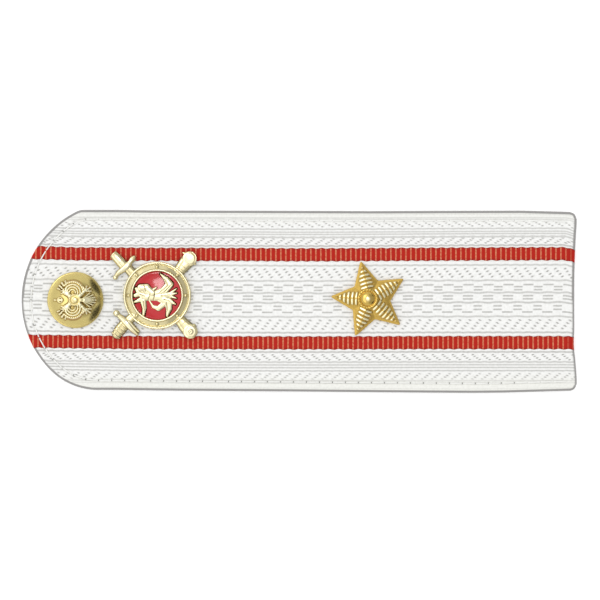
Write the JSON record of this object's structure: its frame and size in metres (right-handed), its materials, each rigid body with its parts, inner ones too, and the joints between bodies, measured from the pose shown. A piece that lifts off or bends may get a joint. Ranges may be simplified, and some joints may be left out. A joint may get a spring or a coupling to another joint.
{
  "type": "shoulder board",
  "caption": "Stiff white woven dress shoulder board with red stripes, a gilt button, a crossed-arms emblem and a ribbed star.",
  "frame": {"origin": "centre of the board's flat underside, midway along its length and width", "axes": "+X from the button end to the straight end, +Y to the upper long edge of the picture, +Z out of the woven face"},
  "size_m": [0.1399, 0.0454, 0.007],
  "materials": {
    "white_galloon": "woven silk-like thread",
    "red_galloon": "ribbed woven thread",
    "button_gilt": "satin gilt",
    "emblem_gilt": "bright pale gilt",
    "red_enamel": "glossy poured enamel",
    "star_gilt": "bright deep gilt",
    "post_brass": "plain"
  },
  "bodies": {
    "root": {"board": "white_galloon", "red_stripe_upper": "red_galloon", "red_stripe_lower": "red_galloon", "button_cap": "button_gilt", "button_post": "post_brass", "emblem_body": "emblem_gilt", "emblem_enamel": "red_enamel", "emblem_post": "post_brass", "star": "star_gilt", "star_post": "post_brass"}
  },
  "joints": []
}
